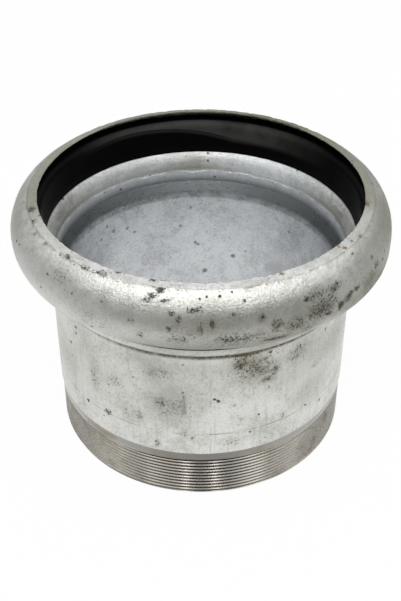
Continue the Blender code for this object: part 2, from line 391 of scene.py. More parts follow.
# Dots on the pipe, outside and then down in the bore: turn, radius, height and size.
PIPE_DOTS = (
    (4.8, 82.5, 70.6, 0.9),
    (6.1, 82.5, 69.2, 1.1),
    (-57.2, 82.5, 77.7, 0.9),
    (-48, 82.5, 45.3, 1.2),
    (-36, 82.5, 47.5, 0.8),
    (-175, 74.6, 87.8, 1),
    (-170, 74.6, 75.1, 1),
    (-177.2, 74.6, 61.8, 1.2),
    (-178.4, 74.6, 60.4, 0.9),
    (164.2, 74.6, 53.2, 1.5),
    (178.2, 74.6, 39.9, 1.7),
    (-146.8, 74.6, 77.6, 1),
    (-142.8, 74.6, 81.9, 0.9),
    (-134.8, 74.6, 84.6, 1.3),
    (-131, 74.6, 90.2, 1.1),
    (-127, 74.6, 83.6, 1),
    (134.5, 74.6, 84.1, 1),
    (158, 74.6, 58.3, 0.7),
)


def arc(centre, half_sizes, start, end, steps):
    """Points (radius, height) along an ellipse, with angles counted from outwards to upwards."""
    angles = [start + (end - start) * i / steps for i in range(steps + 1)]
    return [
        (centre[0] + half_sizes[0] * math.cos(a), centre[1] + half_sizes[1] * math.sin(a))
        for a in angles
    ]


def divided(corners, row):
    """The points of a broken line, with more set in so that none are further apart than a row."""
    points = [corners[0]]
    for (r0, z0), (r1, z1) in zip(corners, corners[1:]):
        count = max(1, round(math.hypot(r1 - r0, z1 - z0) / row))
        for i in range(1, count + 1):
            points.append((r0 + (r1 - r0) * i / count, z0 + (z1 - z0) * i / count))
    return points


def ridge_of_thread():
    """One pitch of the thread, from the bottom of a groove over the ridge to the next groove."""
    lean = math.pi / 2.0 - THREAD_HALF_ANGLE
    size = (THREAD_ROUND, THREAD_ROUND)
    root_radius = BARE_RADIUS - THREAD_DEPTH + THREAD_ROUND
    crest = (BARE_RADIUS - THREAD_ROUND, THREAD_PITCH / 2.0)
    lower_root = arc((root_radius, 0.0), size, math.pi, math.pi - lean, 2)
    upper_root = arc((root_radius, THREAD_PITCH), size, math.pi + lean, math.pi, 2)
    return lower_root + arc(crest, size, -lean, lean, 4) + upper_root[:-1]


def set_out(vert, radius, height):
    """Puts a point at a radius and a height, and leaves it on its own side of the axis."""
    stretch = radius / math.hypot(vert.co.x, vert.co.y)
    vert.co = (vert.co.x * stretch, vert.co.y * stretch, height)


def wind_thread(shape):
    """The threaded surface, cut off level at the foot and run out to nothing at its top."""
    turns = math.ceil(THREAD_HEIGHT / THREAD_PITCH) + 2
    ridge = ridge_of_thread()
    line = []
    for turn in range(turns):
        line += [(r, z + THREAD_START + (turn - 1) * THREAD_PITCH) for r, z in ridge]
    spin_line(shape, line, PIPE_STEPS, dvec=(0.0, 0.0, THREAD_PITCH / PIPE_STEPS))
    bmesh.ops.remove_doubles(shape, verts=shape.verts, dist=SAME_PLACE)
    for height, side in ((0.0, {"clear_inner": True}), (THREAD_HEIGHT, {"clear_outer": True})):
        bmesh.ops.bisect_plane(
            shape,
            geom=shape.verts[:] + shape.edges[:] + shape.faces[:],
            dist=SAME_PLACE,
            plane_co=(0.0, 0.0, height),
            plane_no=(0.0, 0.0, 1.0),
            **side,
        )
    for vert in shape.verts:
        radius = math.hypot(vert.co.x, vert.co.y)
        into_last_turn = (vert.co.z - THREAD_HEIGHT) / THREAD_PITCH + 1.0
        depth_left = min(1.0, max(0.0, 1.0 - THREAD_FADE * into_last_turn))
        radius = BARE_RADIUS - (BARE_RADIUS - radius) * depth_left
        radius = min(radius, BARE_RADIUS - FOOT_CHAMFER + vert.co.z)
        set_out(vert, radius, max(vert.co.z, 0.0))


def open_ring(shape, height):
    """The open edges that lie at a height."""
    return [
        edge
        for edge in shape.edges
        if edge.is_boundary and all(abs(vert.co.z - height) < SAME_PLACE for vert in edge.verts)
    ]


def nipple_outline():
    """From the top of the thread up the outside, over the rim and down the bore to the foot."""
    outside = [
        (BARE_RADIUS, THREAD_HEIGHT),
        (BARE_RADIUS, BARE_HEIGHT - SKIM_STEP),
        (BARE_RADIUS + SKIM_STEP / 3.0, BARE_HEIGHT - SKIM_STEP / 2.0),
        (PIPE_RADIUS, BARE_HEIGHT),
        (PIPE_RADIUS, PIPE_TOP),
    ]
    inside = [
        (CHAMFER_TOP_RADIUS - DRIP_DEPTH, PIPE_TOP),
        (BORE_RADIUS, CHAMFER_FOOT),
        (BORE_RADIUS, 0.0),
    ]
    return divided(outside, PIPE_ROW)[1:] + divided(inside, BORE_ROW)


def make_nipple_mesh():
    shape = bmesh.new()
    wind_thread(shape)
    foot_edge = open_ring(shape, 0.0)
    ring = open_ring(shape, THREAD_HEIGHT)
    for radius, height in nipple_outline():
        grown = bmesh.ops.extrude_edge_only(shape, edges=ring)["geom"]
        edges = [part for part in grown if isinstance(part, bmesh.types.BMEdge)]
        ring = [edge for edge in edges if edge.is_boundary]
        for vert in grown:
            if isinstance(vert, bmesh.types.BMVert):
                set_out(vert, radius, height)
    bmesh.ops.bridge_loops(shape, edges=foot_edge + ring)
    bmesh.ops.recalc_face_normals(shape, faces=shape.faces)
    return shape


def lump(place, size, seed):
    """A smooth random height between about minus one and one, for lumps of a given size."""
    return noise.noise(place / size + Vector((seed, 2.0 * seed, -seed)))


def roughen_pipe(shape):
    """Makes the zinc a little uneven and raises the seam. The bare foot and the rim stay true."""
    for vert in shape.verts:
        x, y, z = vert.co
        radius = math.hypot(x, y)
        outside = radius > BARE_RADIUS and BARE_HEIGHT - SAME_PLACE < z < PIPE_TOP - SAME_PLACE
        in_bore = radius < BARE_RADIUS - THREAD_DEPTH - SKIM_STEP
        inside = in_bore and SAME_PLACE < z < CHAMFER_FOOT
        if outside or inside:
            swell = sum(rise * lump(vert.co, size, seed) for rise, size, seed in PIPE_LUMPS)
            if outside and SEAM_TURN[0] < math.degrees(math.atan2(x, -y)) < SEAM_TURN[1]:
                swell += SEAM_RISE
            set_out(vert, radius + swell, z)


def finish_mesh(shape, name, materials, sharp_angle=SHARP_ANGLE):
    """Turns the worked shape into a smooth-shaded object that rides on the adapter."""
    piece = make_object(shape, name, *materials)
    piece.data.shade_smooth()
    piece.data.set_sharp_from_angle(angle=sharp_angle)
    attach(piece, "root")
    return piece


def place_of(turn, radius, height):
    """A point at a turn from the front in degrees, and a radius and a height in millimetres."""
    angle = math.radians(turn)
    return Vector((radius * math.sin(angle), -radius * math.cos(angle), height)) / 1000.0


def paint(piece, name, marks):
    """Keeps on the mesh how strongly each point lies under some marks, from nought to one."""
    mesh = piece.data
    places = np.zeros(len(mesh.vertices) * 3)
    mesh.vertices.foreach_get("co", places)
    places = places.reshape(-1, 3)
    amount = np.zeros(len(places))
    for turn, radius, height, half_width, half_height, strength in marks:
        offset = (places - np.array(place_of(turn, radius, height))) * 1000.0
        across = (offset[:, 0] ** 2 + offset[:, 1] ** 2) / half_width**2
        distance = np.sqrt(across + offset[:, 2] ** 2 / half_height**2)
        fall = np.clip(1.0 - distance / MARK_EDGE, 0.0, 1.0)
        amount = np.maximum(amount, strength * fall * fall * (3.0 - 2.0 * fall))
    layer = mesh.attributes.new(name, "FLOAT", "POINT")
    layer.data.foreach_set("value", amount)


def new_group(name, inputs, outputs):
    """An empty shader node group. Its inputs and outputs are given by name and usual value."""
    group = bpy.data.node_groups.new(name, "ShaderNodeTree")
    for side, sockets in (("INPUT", inputs), ("OUTPUT", outputs)):
        for title, usual in sockets.items():
            kind = "NodeSocketColor" if isinstance(usual, tuple) else "NodeSocketFloat"
            socket = group.interface.new_socket(title, in_out=side, socket_type=kind)
            socket.default_value = usual
    return group, group.nodes.new("NodeGroupInput").outputs, group.nodes.new("NodeGroupOutput")


def use_group(tree, group, inputs):
    """Places a node group and gives back its outputs."""
    return add_node(tree, "ShaderNodeGroup", inputs, node_tree=group).outputs


def noise_at(tree, place, scale, detail, roughness):
    node = add_node(
        tree,
        "ShaderNodeTexNoise",
        {"Vector": place, "Scale": scale, "Detail": detail, "Roughness": roughness},
    )
    return node.outputs[0]


def make_zinc_group():
    """Hot-dipped zinc: pale and grey patches, fine grain, dark crumbs and pits, soot and rust, and
    the grime and painted shade given to it.
    """
    group, given, out = new_group(
        "zinc_skin",
        {
            "Light": ZINC_LIGHT,
            "Middle": ZINC_MIDDLE,
            "Crumbs": 0.5,
            "Streaks": 0.0,
            "Bright Metal": 0.5,
            "Dullness": 0.3,
            "Grime And Shade": 0.0,
            "Soot And Shade": 0.0,
            "Rust": 0.0,
            "Dots": NO_DOT,
        },
        {"Colour": ZINC_LIGHT, "Roughness": 0.5, "Metallic": 0.0, "Height": 0.0},
    )
    place = add_node(group, "ShaderNodeTexCoord").outputs["Object"]
    cloud = noise_at(group, place, *CLOUD)
    mottle = noise_at(group, place, *MOTTLE)
    grain = noise_at(group, place, *GRAIN)
    fine = noise_at(group, place, *FINE_GRAIN)
    tone = scaled(group, cloud, 0.34, times(group, mottle, 0.28))
    tone = scaled(group, grain, 0.38, tone)
    colour = blend(group, between(group, tone, 0.42, 0.57), given["Middle"], given["Light"])
    lines = add_node(group, "ShaderNodeMapping", {"Vector": place, "Scale": (1.0, 1.0, 0.06)})
    streak = between(group, noise_at(group, lines.outputs[0], *STREAKS), 0.52, 0.72)
    streak = times(group, streak, given["Streaks"])
    shade = times(group, between(group, grain, 0.54, 0.68), 0.30)
    colour = blend(group, largest(group, shade, streak), colour, GRIME_AND_SHADE)
    cluster = between(group, noise_at(group, place, *CRUMB_CLUSTERS), 0.44, 0.64)
    crumb_noise = scaled(group, cluster, 0.05, noise_at(group, place, *CRUMBS))
    crumb_noise = scaled(group, given["Crumbs"], 0.08, crumb_noise)
    # The soot input thickens the crumbs and olive haze, for real soot and for painted shade in
    # creases.
    crumb_noise = scaled(group, given["Soot And Shade"], 0.25, crumb_noise)
    crumb = between(group, crumb_noise, 0.69, 0.80)
    cells = add_node(group, "ShaderNodeTexVoronoi", {"Vector": place, "Scale": 230.0})
    size = add_node(group, "ShaderNodeSeparateColor", {0: cells.outputs["Color"]}).outputs[0]
    reach = times(group, between(group, size, 0.80, 1.0), 0.20)
    reach = scaled(group, maths(group, "SUBTRACT", grain, 0.5), 0.9, reach)
    pit = between(group, maths(group, "SUBTRACT", reach, cells.outputs["Distance"]), -0.05, 0.06)
    crumbly = between(group, given["Crumbs"], 0.05, 0.40)
    pit = times(group, pit, between(group, size, 0.80, 0.86), crumbly)
    spot = between(group, scaled(group, grain, 1.6, given["Dots"]), 2.0, 1.5)
    spot = times(group, spot, between(group, given["Crumbs"], 0.05, 0.40, 0.60, 1.0))
    dark = largest(group, crumb, pit, spot)
    haze = between(group, scaled(group, given["Soot And Shade"], 0.15, mottle), 0.43, 0.72)
    haze = times(group, haze, given["Soot And Shade"])
    # Darkening given by the settings, for real grime and for painted shade, broken up by the
    # mottle.
    grime_and_shade = times(group, maths(group, "ADD", mottle, 0.5), given["Grime And Shade"])
    colour = blend(group, maths(group, "MINIMUM", grime_and_shade, 0.95), colour, GRIME_AND_SHADE)
    colour = blend(group, times(group, haze, 0.80), colour, OLIVE)
    colour = blend(group, times(group, dark, 0.93), colour, SOOT)
    specks = noise_at(group, place, *RUST_SPECKS)
    rust = scaled(group, given["Rust"], 0.42, specks)
    rust = times(group, between(group, rust, 0.66, 0.82), 0.85)
    colour = blend(group, rust, colour, RUST)
    cover = largest(group, times(group, largest(group, haze, grime_and_shade), 0.5), rust, dark)
    metal = times(group, between(group, cloud, 0.2, 0.5, 0.7), given["Bright Metal"])
    metal = times(group, metal, scaled(group, cover, -0.8, 1.0))
    uneven = maths(group, "SUBTRACT", mottle, 0.5)
    dull = scaled(group, uneven, 0.5, given["Dullness"])
    height = scaled(group, mottle, 0.8, times(group, grain, 1.2))
    height = scaled(group, fine, 0.16, height)
    height = scaled(group, dark, -0.6, height)
    group.links.new(colour, out.inputs["Colour"])
    group.links.new(scaled(group, cover, 0.25, dull), out.inputs["Roughness"])
    group.links.new(metal, out.inputs["Metallic"])
    group.links.new(height, out.inputs["Height"])
    return group


zinc_skin = make_zinc_group()


def nearest_dot(tree, place, dots):
    """How far the surface is from the nearest of some dots, in sizes of that dot."""
    nearest = NO_DOT
    for turn, radius, height, size in dots:
        centre = place_of(turn, radius, height)
        away = add_node(tree, "ShaderNodeVectorMath", {0: place, 1: centre}, operation="DISTANCE")
        sizes_away = maths(tree, "DIVIDE", away.outputs["Value"], size / 1000.0)
        nearest = maths(tree, "MINIMUM", nearest, sizes_away)
    return nearest


def radius_of(tree, place):
    """The distance of the surface from the adapter's axis."""
    level = {0: place, 1: (1.0, 1.0, 0.0)}
    flat = add_node(tree, "ShaderNodeVectorMath", level, operation="MULTIPLY")
    away = add_node(tree, "ShaderNodeVectorMath", {0: flat.outputs[0]}, operation="LENGTH")
    return away.outputs["Value"]


def painted(tree, name):
    """What was painted on the mesh under a name."""
    return add_node(tree, "ShaderNodeAttribute", attribute_name=name).outputs["Fac"]


def new_material(name, relief):
    """A new material, its node tree, its shader, and a bump of a given relief on that shader."""
    material = bpy.data.materials.new(name)
    material.use_nodes = True
    tree = material.node_tree
    shader = tree.nodes["Principled BSDF"]
    bump = add_node(tree, "ShaderNodeBump", {"Strength": 1.0, "Distance": relief})
    tree.links.new(bump.outputs[0], shader.inputs["Normal"])
    return material, tree, shader, bump


def near(tree, value, middle, half_width):
    """One where a value is at the middle, falling smoothly to nought at the half width."""
    away = maths(tree, "ABSOLUTE", maths(tree, "SUBTRACT", value, middle))
    return between(tree, away, half_width, 0.0)


def zinc_material(name, relief, dots, settings):
    """Hot-dipped zinc with its own dots, dirt, painted light and shade and tones, and the marks
    painted on the mesh.
    """
    material, tree, shader, bump = new_material(name, relief)
    place = add_node(tree, "ShaderNodeTexCoord").outputs["Object"]
    values = {"Rust": painted(tree, "rust"), "Dots": nearest_dot(tree, place, dots)}
    values.update(settings(tree, place))
    skin = use_group(tree, zinc_skin, values)
    tree.links.new(skin["Colour"], shader.inputs["Base Color"])
    tree.links.new(skin["Roughness"], shader.inputs["Roughness"])
    tree.links.new(skin["Metallic"], shader.inputs["Metallic"])
    tree.links.new(skin["Height"], bump.inputs["Height"])
    return material


def bore_tones(tree, place, inside):
    """The bluer zinc of the bore, a neck painted paler as lit, and painted shade down the neck and
    over the chamfer.
    """
    height = height_of(tree, place)
    edges = times(tree, between(tree, height, *SHADE_TOP), between(tree, height, *SHADE_FOOT))
    shade = times(tree, edges, between(tree, height, *SHADE_STEP, 0.82, 0.94), inside)
    neck = between(tree, height, CHAMFER_FOOT, PIPE_TOP)
    light = blend(tree, inside, ZINC_LIGHT, blend(tree, neck, BORE_LIGHT, NECK_LIT_PALE))
    middle = blend(tree, inside, ZINC_MIDDLE, blend(tree, neck, BORE_MIDDLE, NECK_LIT_MIDDLE))
    return {
        "Light": blend(tree, shade, light, NECK_SHADE),
        "Middle": blend(tree, shade, middle, NECK_SHADE),
    }


def pipe_settings(tree, place):
    """Painted shade on the weld's toe, dirt and painted shade below it, a dirty scribed line, bluer
    bore zinc.
    """
    height = height_of(tree, place)
    turn = turn_of(tree, place)
    radius = radius_of(tree, place)
    outside = between(tree, radius, CHAMFER_TOP_RADIUS, CHAMFER_TOP_RADIUS + SKIM_STEP)
    broken = between(tree, noise_at(tree, place, 90.0, 4.0, 0.6), 0.40, 0.56)
    # Painted shade in the crease at the weld's toe, in front, which also thickens the soot there.
    toe = times(tree, near(tree, height, *TOE_SHADE), near(tree, turn, *TOE_SHADE_TURN), outside)
    # Dirt and painted shade laid on the mesh below the weld.
    below = times(tree, painted(tree, "grime_and_shade"), outside)
    scribed = times(tree, near(tree, height, *SCRIBED_LINE), broken)
    seam = times(tree, near(tree, turn, SEAM_TURN[1], 0.5), broken)
    faint = scaled(tree, scribed, 0.55, times(tree, seam, 0.30))
    inside = maths(tree, "SUBTRACT", 1.0, outside)
    return {
        **bore_tones(tree, place, inside),
        "Crumbs": scaled(tree, outside, 0.62, 0.08),
        "Streaks": times(tree, outside, 0.20),
        "Bright Metal": 0.80,
        "Dullness": 0.30,
        "Grime And Shade": largest(tree, toe, below, times(tree, faint, outside)),
        "Soot And Shade": largest(tree, painted(tree, "soot"), times(tree, toe, 0.7)),
    }


def bare_steel():
    """Turned steel with tool rings, a painted dark reflection in front, weaker at one patch, and
    painted groove shade.
    """
    material, tree, shader, bump = new_material("machined_steel", STEEL_RELIEF)
    place = add_node(tree, "ShaderNodeTexCoord").outputs["Object"]
    rings = add_node(tree, "ShaderNodeMapping", {"Vector": place, "Scale": (0.04, 0.04, 1.0)})
    marks = noise_at(tree, rings.outputs[0], 2600.0, 3.0, 0.6)
    tarnish = noise_at(tree, place, 55.0, 5.0, 0.6)
    radius = radius_of(tree, place)
    low_flank = BARE_RADIUS - 0.85 * THREAD_DEPTH
    crest = between(tree, radius, low_flank, BARE_RADIUS - 0.15 * THREAD_DEPTH)
    turn = turn_of(tree, place)
    # Painted reflection: the steel is darker in front, less so near turn 24, and the grooves get
    # painted shade.
    paler_front = times(tree, near(tree, turn, *PALER_FRONT_TURN), 0.4)
    dull = times(tree, near(tree, turn, *FRONT_REFLECTION_TURN), maths(tree, "SUBTRACT", 1.0, paler_front))
    threaded = between(tree, height_of(tree, place), THREAD_HEIGHT, THREAD_HEIGHT - 0.0008)
    light = blend(tree, threaded, STEEL_LIGHT, THREAD_LIGHT)
    colour = blend(tree, dull, light, blend(tree, threaded, STEEL_FRONT_REFLECTION, THREAD_FRONT_REFLECTION))
    colour = blend(tree, between(tree, tarnish, 0.45, 0.72, 0.0, 0.8), colour, STEEL_WARM)
    colour = blend(tree, crest, blend(tree, dull, GROOVE_SHADE_SIDES, GROOVE_SHADE_FRONT), colour)
    tree.links.new(colour, shader.inputs["Base Color"])
    shader.inputs["Metallic"].default_value = 1.0
    ringed = times(tree, marks, maths(tree, "SUBTRACT", 1.0, threaded))
    rough = scaled(tree, ringed, 0.24, 0.17)
    tree.links.new(rough, shader.inputs["Roughness"])
    tree.links.new(ringed, bump.inputs["Height"])
    return material


def mark_bare_faces(shape):
    """Gives the machined foot the second material, the bare steel."""
    for face in shape.faces:
        middle = face.calc_center_median()
        outside = math.hypot(middle.x, middle.y) > BORE_RADIUS + SKIM_STEP
        face.material_index = 1 if outside and middle.z < BARE_HEIGHT - SKIM_STEP / 2.0 else 0


nipple_shape = make_nipple_mesh()
roughen_pipe(nipple_shape)
mark_bare_faces(nipple_shape)
galvanised_pipe = zinc_material("galvanised_pipe", PIPE_RELIEF, PIPE_DOTS, pipe_settings)
nipple = finish_mesh(nipple_shape, "threaded_nipple", [galvanised_pipe, bare_steel()])
paint(nipple, "soot", PIPE_SOOT)
paint(nipple, "rust", PIPE_RUST)
paint(nipple, "grime_and_shade", PIPE_GRIME_AND_SHADE)
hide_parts("pipe_nipple")


# The bell: a thick steel socket, pressed to shape and dipped in zinc, which ran and froze in
# lumps and drips. Its round bead holds the seal, and its foot is welded to the nipple.
BEAD_CENTRE = (0.08397, 0.12798)
BEAD_HALF_WIDTH = 0.01783
BEAD_UPPER_HALF_HEIGHT = 0.01977
BEAD_LOWER_HALF_HEIGHT = 0.0180
BELL_TOP = 0.1470
MOUTH_RADIUS = 0.08604
LIP_RADIUS = 0.09110
LIP_EDGE_HEIGHT = 0.1465
LIP_GROOVE = (0.09200, 0.14555)
LIP_TURN = math.radians(62.4)
FLANK_TURN = math.radians(50.3)
# The belly: its middle and reach round the bead in degrees, the same in height, and its swell.
BELLY = (58.0, 62.0, 0.1175, 0.0110, 0.0017)
FOOT_RADIUS = 0.08595
FOOT_BEVEL_TOP = 0.10624
FOOT_BOTTOM = 0.10422
DRIP_EDGE = 0.1113
SHOULDER_START = 0.1130
SHOULDER_RADIUS = 0.0130
SHOULDER_TURN = math.radians(43.6)
GROOVE_FLOOR = 0.1209
GROOVE_HALF_SIZES = (0.01483, 0.01850)
GROOVE_TURN = math.radians(82.0)
BELL_STEPS = 600
BELL_RELIEF = 0.00032
WALL_GAP = 0.0003
SILL_WIDTH = 0.0007
CORNER_CENTRE = 0.0948
GROOVE_CORNER = 0.004
# Lumps in the bell's zinc and the waves of its edge in the neck: how high and how large they are,
# and the seed of their pattern.
BELL_LUMPS = ((0.00022, 0.011, 3.0), (0.00016, 0.0035, 9.0))
EDGE_WAVES = ((0.0011, 0.011, 41.0), (0.0006, 0.004, 43.0))
EDGE_HEIGHT = 0.0006
CHIP_DEPTH = 0.0005
CHIP_DROP = 0.0003
# Chips out of the lip: their size and the seed of their pattern.
SMALL_CHIPS = (0.0022, 31.0)
LARGE_CHIPS = (0.006, 37.0)
# Painted shade and light and a darker lip on the bell: the middle in height or turn, and how far it
# reaches either side.
CREASE_SHADE = (0.1066, 0.0022)
CREASE_SHADE_TURN = (10.0, 110.0)
BEAD_BAND_SHADE = (0.1315, 0.0125)
NECK_SHADOW = (0.1129, 0.0027)
DARKER_LIP_TURN = (148.0, 40.0)
LIT_NECK_TURNS = ((-146.0, 44.0), (150.0, 44.0))
PAINTED_LIGHT_TURN = (-42.0, 40.0)
LIP_BREAKS = (480.0, 5.0, 0.68)
BELL_LIGHT = (0.71, 0.715, 0.685, 1.0)
BELL_PAINTED_LIGHT = (0.87, 0.875, 0.85, 1.0)
LIP_LIGHT = (0.76, 0.76, 0.745, 1.0)
# Marks on the bell, given as the pipe's are.
BELL_SOOT = (
    (33, 98.8, 137.6, 9, 4, 0.56),
    (29.8, 99.6, 137.2, 2.4, 1.6, 0.85),
    (39, 99.3, 137.4, 7, 2.6, 0.66),
    (35, 101.5, 130, 12, 8, 0.66),
    (26, 101.5, 127, 9, 6, 0.50),
    (30, 100.5, 121, 9, 4, 0.36),
    (55, 101.3, 128, 8, 6, 0.42),
    (12, 101.3, 124, 12, 5, 0.55),
    (-6, 101.3, 126, 12, 6, 0.42),
    (-30, 101.3, 126, 14, 6, 0.30),
    (36.8, 101.5, 125.5, 4, 2, 0.80),
    (41.5, 101.7, 126.4, 3, 3.5, 0.92),
    (44.5, 101.8, 128.5, 3.5, 3.5, 0.90),
    (48.2, 101.7, 130, 3, 2, 0.80),
    (-14, 94.8, 143.7, 2.6, 1.5, 0.75),
    (-11.8, 92.3, 145.5, 2, 1.5, 1.00),
    (-14.8, 86.3, 147, 2, 1, 0.80),
    (-15.2, 96.5, 142.1, 3, 1, 0.75),
    (-10, 95.9, 142.6, 3, 1, 0.70),
    (-2, 98.3, 139.8, 4, 1, 0.75),
    (-8, 99.3, 138, 1.6, 1.2, 0.90),
    (8.8, 99.5, 137.7, 1.6, 1.2, 0.70),
    (-6, 100.5, 135.5, 1.5, 4, 0.75),
    (-0.2, 101.3, 132, 1.5, 4, 0.75),
    (2.8, 100.9, 134, 1.8, 3, 0.85),
    (-8.5, 101.6, 130.7, 1.8, 1.8, 0.85),
    (-18.8, 101.3, 132.4, 2, 2, 0.75),
    (16.2, 100.7, 134.5, 3, 3, 0.65),
    (20.5, 101.8, 129.2, 5, 5, 0.70),
    (-16, 101.5, 124.8, 3, 3, 0.60),
    (-4.5, 101.7, 125, 4, 3, 0.60),
    (7, 101.6, 125, 6, 2.5, 0.66),
    (20, 100.3, 120.5, 9, 1.6, 0.72),
    (-76, 90.3, 146.6, 3, 1.4, 0.62),
    (-56, 92.6, 145.4, 1.5, 1.2, 0.80),
    (-44.8, 91, 146.5, 1.8, 1.2, 0.72),
    (-37, 91.9, 145.8, 3, 1, 0.50),
    (-31, 91.2, 146.3, 3, 1.2, 0.55),
    (-26.5, 86.3, 147, 1.4, 1.4, 0.90),
    (-63, 93.4, 144.8, 2.2, 1.4, 0.62),
    (-69, 91, 146.4, 2.2, 1.2, 0.55),
    (-83, 93.6, 144.7, 2, 1.6, 0.60),
    (-28, 99.5, 138, 3, 3, 0.62),
    (-43.5, 98, 140, 8, 4, 0.45),
    (58, 99.3, 138.1, 1.6, 1.8, 0.85),
    (66.8, 101.2, 133, 1.4, 3, 0.75),
    (60, 101.2, 132.5, 3, 3, 0.62),
)
# Dirt and painted shade on the bell: a darker lower band, a dimmed highlight and a darker right
# side.
BELL_GRIME_AND_SHADE = (
    (2, 96, 142, 28, 2.6, 0.16),
    (6, 99.5, 118.5, 42, 8, 0.50),
    (20, 100, 119, 22, 8, 0.55),
    (28, 101, 128, 32, 10, 0.52),
    (2, 100.8, 133.5, 48, 6.5, 0.50),
    (60, 100, 121, 40, 14, 0.74),
    (84, 100, 134, 40, 12, 0.68),
    (80, 101.5, 127, 24, 8, 0.62),
    (104, 94, 143, 16, 5, 0.45),
    (78, 96, 142, 34, 7, 0.54),
    (56, 92, 110, 16, 6, 0.66),
    (14, 91, 110, 42, 6, 0.46),
    (-84, 101, 134, 44, 11, 0.20),
)
BELL_RUST = (
    (26, 86, 106.2, 9, 1.5, 0.70),
    (25.5, 86.9, 146.9, 2, 1.2, 1.00),
    (20.8, 88.1, 146.8, 1.2, 1, 0.70),
    (50, 87.6, 146.9, 1.5, 1.5, 1.00),
    (50.5, 90, 146.6, 1.5, 1.5, 0.95),
    (59.5, 91.2, 146.5, 1.5, 1.2, 0.95),
    (79.5, 86.5, 147, 4, 1.2, 0.85),
    (-71, 86.4, 147, 1.4, 0.9, 0.90),
    (-77, 89.6, 146.7, 2.2, 1, 0.55),
    (-45, 90.4, 146.6, 1.2, 0.8, 0.65),
    (20, 99.5, 119.5, 9, 1.4, 0.72),
    (2.8, 100.9, 134, 1.6, 2.2, 0.42),
    (42, 101.7, 127, 3, 2, 0.55),
)
BELL_DOTS = (
    (1.5, 93.8, 144.5, 0.65),
    (5.2, 93.7, 144.5, 0.70),
    (8.8, 92.3, 145.5, 0.6),
    (12, 96.2, 142.4, 0.75),
    (16.5, 100.7, 134.9, 0.9),
    (-69.5, 100.3, 136, 0.9),
    (29.8, 99.6, 137.4, 1.1),
    (40.8, 99.2, 138.5, 0.9),
)
BELL_ROW = 0.0010
FINE_ROW = 0.0005


def spread(points, row):
    """Points set evenly along a broken line, about a row apart."""
    lengths = [0.0]
    for (r0, z0), (r1, z1) in zip(points, points[1:]):
        lengths.append(lengths[-1] + math.hypot(r1 - r0, z1 - z0))
    count = max(1, round(lengths[-1] / row))
    even = []
    stretch = 0
    for i in range(count + 1):
        along = lengths[-1] * i / count
        while stretch < len(points) - 2 and lengths[stretch + 1] < along:
            stretch += 1
        share = (along - lengths[stretch]) / (lengths[stretch + 1] - lengths[stretch])
        (r0, z0), (r1, z1) = points[stretch], points[stretch + 1]
        even.append((r0 + (r1 - r0) * share, z0 + (z1 - z0) * share))
    return even


def bell_outline():
    """The bell's section from its lip over the bead and flank to its foot, and back up inside."""
    upper = arc(BEAD_CENTRE, (BEAD_HALF_WIDTH, BEAD_UPPER_HALF_HEIGHT), LIP_TURN, 0.0, 60)
    lower = arc(BEAD_CENTRE, (BEAD_HALF_WIDTH, BEAD_LOWER_HALF_HEIGHT), 0.0, -FLANK_TURN, 60)
    lip = [(MOUTH_RADIUS, BELL_TOP), (LIP_RADIUS, LIP_EDGE_HEIGHT), LIP_GROOVE]
    outside = divided(lip, FINE_ROW)[:-1] + spread(upper + lower[1:], BELL_ROW)
    flank = divided([outside[-1], (FOOT_RADIUS, FOOT_BEVEL_TOP)], BELL_ROW)[1:]
    neck_foot = (CHAMFER_TOP_RADIUS, FOOT_BOTTOM)
    foot = divided([(PIPE_RADIUS + WALL_GAP, FOOT_BOTTOM), neck_foot], BELL_ROW)
    neck = divided([neck_foot, (CHAMFER_TOP_RADIUS, SHOULDER_START)], FINE_ROW)
    turn_centre = (CHAMFER_TOP_RADIUS + SHOULDER_RADIUS, SHOULDER_START)
    size = (SHOULDER_RADIUS, SHOULDER_RADIUS)
    shoulder = arc(turn_centre, size, math.pi, math.pi - SHOULDER_TURN, 12)
    sill_radius = shoulder[-1][0] + SILL_WIDTH
    floor = [(sill_radius, shoulder[-1][1]), (sill_radius, GROOVE_FLOOR)]
    corner_centre = (CORNER_CENTRE, GROOVE_FLOOR + GROOVE_CORNER)
    corner = arc(corner_centre, (GROOVE_CORNER, GROOVE_CORNER), -math.pi / 2.0, 0.0, 4)
    roof = arc(BEAD_CENTRE, GROOVE_HALF_SIZES, 0.0, GROOVE_TURN, 8)
    return outside + flank + foot[:-1] + neck[:-1] + shoulder + floor + corner + roof


def turn_section(section, steps):
    """Spins a closed section a quarter of the way round the axis and mirrors it twice."""
    shape = bmesh.new()
    spin_line(shape, section, steps // 4, closed=True, angle=math.pi / 2.0)
    for side in ("X", "Y"):
        bmesh.ops.mirror(
            shape,
            geom=shape.verts[:] + shape.edges[:] + shape.faces[:],
            axis=side,
            merge_dist=SAME_PLACE,
        )
    bmesh.ops.recalc_face_normals(shape, faces=shape.faces)
    return shape


def roughen_bell(shape):
    """Hollows that sink between lumps of zinc, and a slight belly low on the bead's right side."""
    shape.normal_update()
    for vert in shape.verts:
        turn = math.degrees(math.atan2(vert.co.x, -vert.co.y))
        radius = math.hypot(vert.co.x, vert.co.y)
        belly = max(0.0, 1.0 - ((turn - BELLY[0]) / BELLY[1]) ** 2) ** 2
        belly *= max(0.0, 1.0 - ((vert.co.z - BELLY[2]) / BELLY[3]) ** 2) ** 2
        if radius > FOOT_RADIUS and belly > 0.0:
            bulged = min(radius + BELLY[4] * belly, BEAD_CENTRE[0] + BEAD_HALF_WIDTH)
            set_out(vert, bulged, vert.co.z)
        if vert.co.z > FOOT_BOTTOM + SAME_PLACE:
            sink = 0.0
            for depth, size, seed in BELL_LUMPS:
                sink += depth * (0.5 + 0.5 * lump(vert.co, size, seed))
            vert.co -= vert.normal * sink


